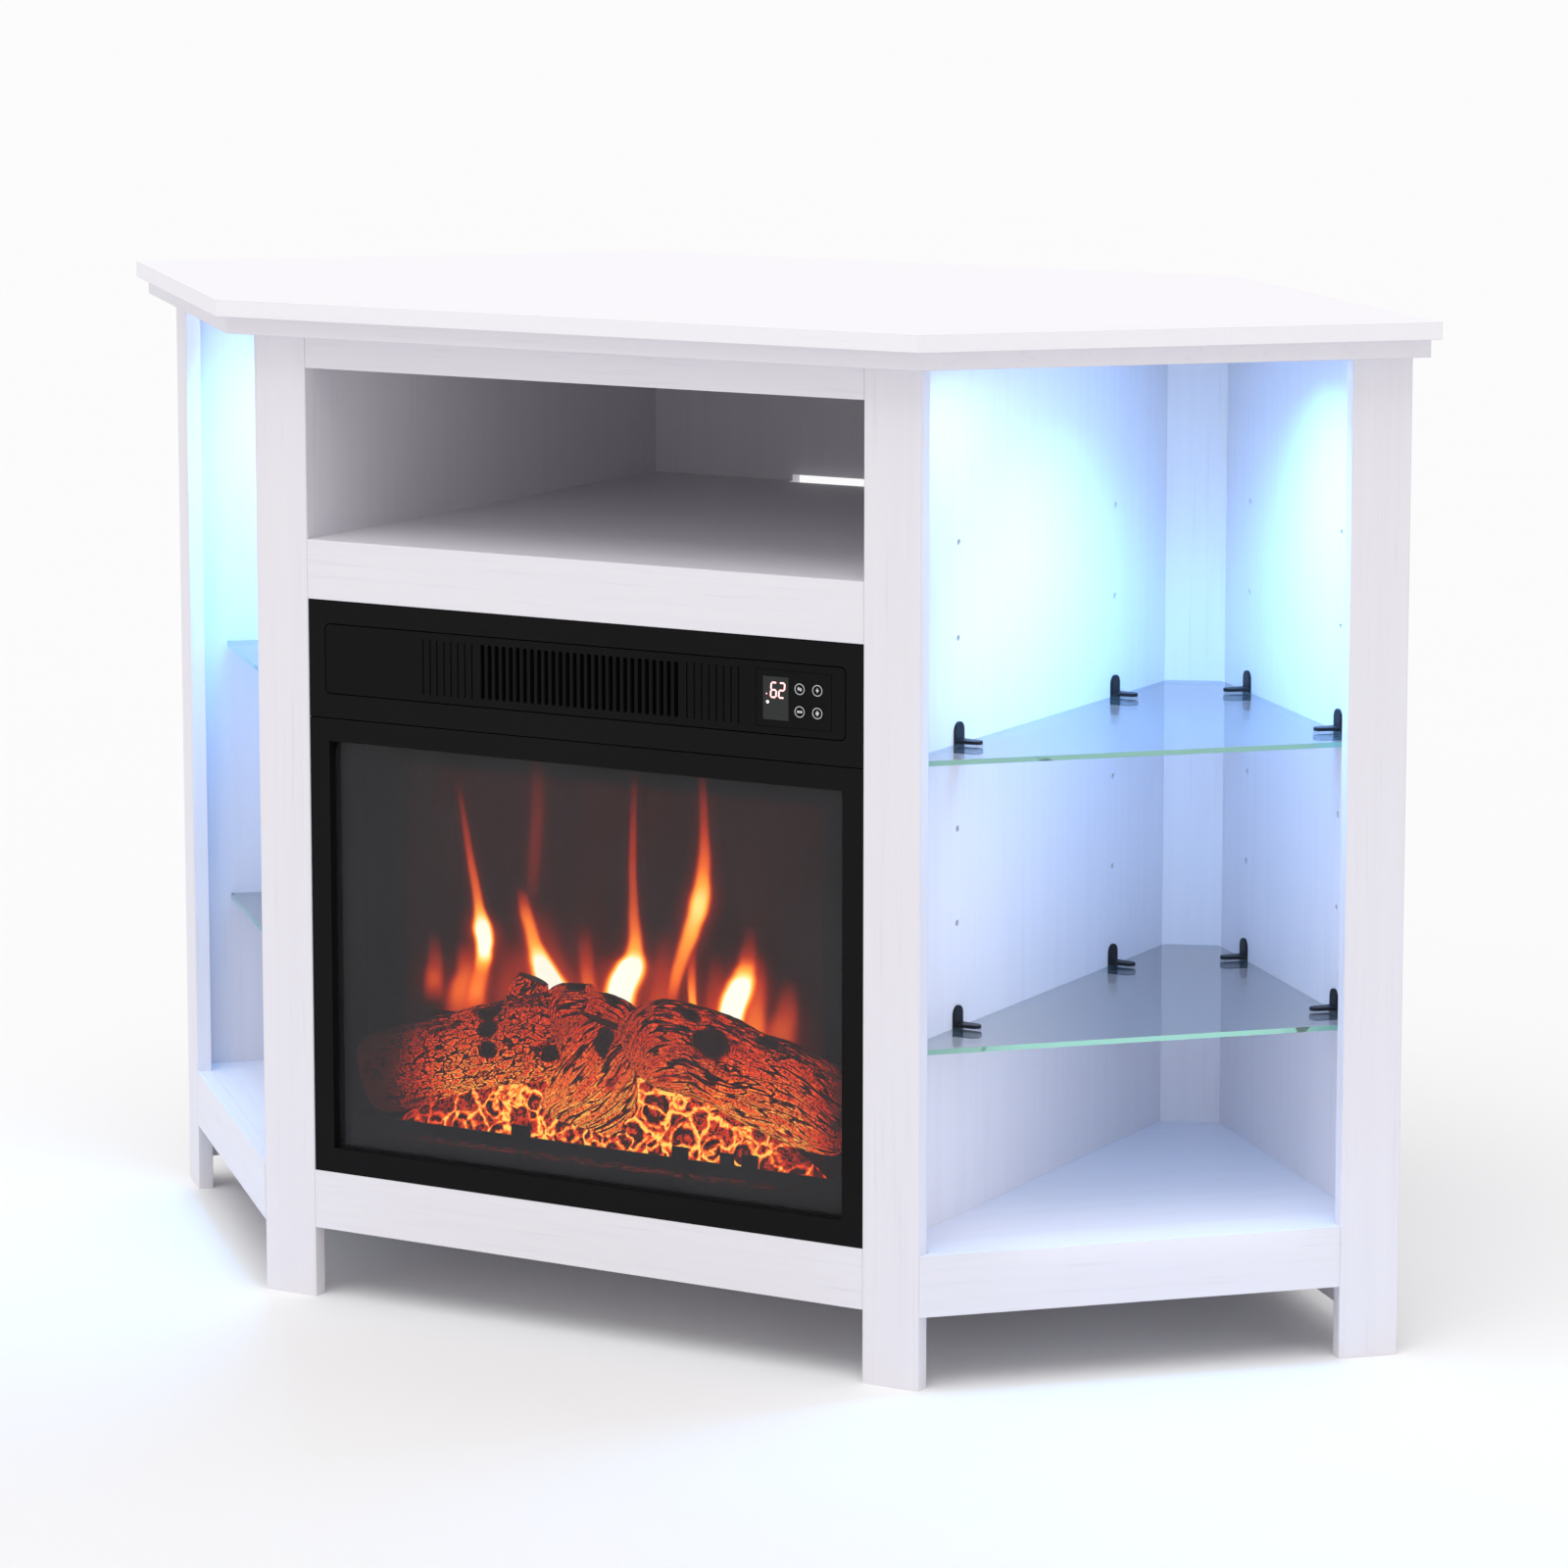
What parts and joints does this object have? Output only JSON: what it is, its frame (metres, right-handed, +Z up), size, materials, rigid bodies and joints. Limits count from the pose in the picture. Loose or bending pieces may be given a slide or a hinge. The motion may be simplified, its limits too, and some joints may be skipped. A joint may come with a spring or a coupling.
{
  "type": "corner TV cabinet with electric fireplace",
  "caption": "White corner TV cabinet: electric fireplace insert in the front, lit bays with glass shelves in both angled wings, open media compartment under the top.",
  "frame": {"origin": "on the floor, under the middle of the bounding box of the top slab", "axes": "+X to the viewer's right along the straight front, +Y from the front to the room corner behind, +Z up"},
  "size_m": [1.1998, 0.605, 0.8],
  "materials": {
    "white_laminate": "white board with a fine vertical grain, satin",
    "board_laminate": "white board, satin",
    "shelf_glass": "clear float glass with a green edge",
    "clip_plastic": "satin black",
    "channel_aluminium": "satin",
    "led_diffuser": "frosted, lit cool white",
    "black_steel": "matt black",
    "satin_black_steel": "satin black",
    "smoked_glass": "smoked, polished",
    "panel_plastic": "satin black",
    "button_plastic": "black with a light ring",
    "display_lens": "dark tinted",
    "circuit_board": "green",
    "moulded_log": "dark bark lit from within",
    "ember_resin": "translucent, glowing",
    "flame_screen": "dark red, translucent",
    "bright_steel": "bright",
    "bearing_plastic": "natural",
    "motor_can": "plain",
    "led_board": "white solder mask",
    "zinc_sheet": "zinc plated",
    "heater_fins": "plain",
    "zinc_screw": "zinc plated",
    "gland_rubber": "black"
  },
  "bodies": {
    "cabinet": {"top_slab": "white_laminate", "top_moulding": "white_laminate", "front_post_left": "white_laminate", "front_post_right": "white_laminate", "wing_post_left": "white_laminate", "wing_post_right": "white_laminate", "header_rail": "white_laminate", "shelf_rail": "white_laminate", "bottom_rail": "white_laminate", "wing_rail_left": "white_laminate", "wing_rail_right": "white_laminate", "partition_left": "board_laminate", "partition_right": "board_laminate", "media_shelf": "board_laminate", "centre_base": "board_laminate", "bay_floor_left": "board_laminate", "bay_floor_right": "board_laminate", "rear_panel": "board_laminate", "rear_rail": "board_laminate", "rear_wall_left": "board_laminate", "rear_wall_right": "board_laminate", "rear_stile_left": "board_laminate", "rear_stile_right": "board_laminate", "glass_shelf_upper_left": "shelf_glass", "glass_shelf_upper_right": "shelf_glass", "glass_shelf_lower_left": "shelf_glass", "glass_shelf_lower_right": "shelf_glass", "shelf_clips": "clip_plastic", "led_channel_left": "channel_aluminium", "led_channel_right": "channel_aluminium", "led_strip_left": "led_diffuser", "led_strip_right": "led_diffuser", "insert_casing": "black_steel", "firebox_divider": "black_steel", "window_frame": "satin_black_steel", "window_glass": "smoked_glass", "fascia_frame": "satin_black_steel", "control_panel": "panel_plastic", "display_window": "display_lens", "control_board": "circuit_board", "log_set": "moulded_log", "ember_bed": "ember_resin", "grate_fret": "black_steel", "log_tray": "black_steel", "flame_screen": "flame_screen", "rotor_bush": "bearing_plastic", "rotor_motor": "motor_can", "flame_led_board": "led_board", "blower_housing": "zinc_sheet", "blower_motor": "motor_can", "heating_element": "heater_fins", "insert_brackets": "zinc_sheet", "fixing_screws": "zinc_screw", "cord_gland": "gland_rubber"},
    "button_power": {"button_power": "button_plastic"},
    "button_flame": {"button_flame": "button_plastic"},
    "button_heat": {"button_heat": "button_plastic"},
    "button_timer": {"button_timer": "button_plastic"},
    "flame_rotor": {"flame_rotor": "bright_steel"},
    "blower_wheel": {"blower_wheel": "bright_steel"}
  },
  "joints": [
    {"name": "button_power_press", "type": "slide", "parent": "cabinet", "child": "button_power", "axis": [0, 1, 0], "range_m": [0, 0.0008], "stiffness_N_per_m": 800, "springref_m": -0.0004},
    {"name": "button_flame_press", "type": "slide", "parent": "cabinet", "child": "button_flame", "axis": [0, 1, 0], "range_m": [0, 0.0008], "stiffness_N_per_m": 800, "springref_m": -0.0004},
    {"name": "button_heat_press", "type": "slide", "parent": "cabinet", "child": "button_heat", "axis": [0, 1, 0], "range_m": [0, 0.0008], "stiffness_N_per_m": 800, "springref_m": -0.0004},
    {"name": "button_timer_press", "type": "slide", "parent": "cabinet", "child": "button_timer", "axis": [0, 1, 0], "range_m": [0, 0.0008], "stiffness_N_per_m": 800, "springref_m": -0.0004},
    {"name": "flame_rotor_spin", "type": "hinge", "parent": "cabinet", "child": "flame_rotor", "pos_m": [0, -0.1705, 0.1672], "axis": [1, 0, 0], "continuous": true},
    {"name": "blower_wheel_spin", "type": "hinge", "parent": "cabinet", "child": "blower_wheel", "pos_m": [0, -0.1825, 0.5184], "axis": [1, 0, 0], "continuous": true}
  ]
}
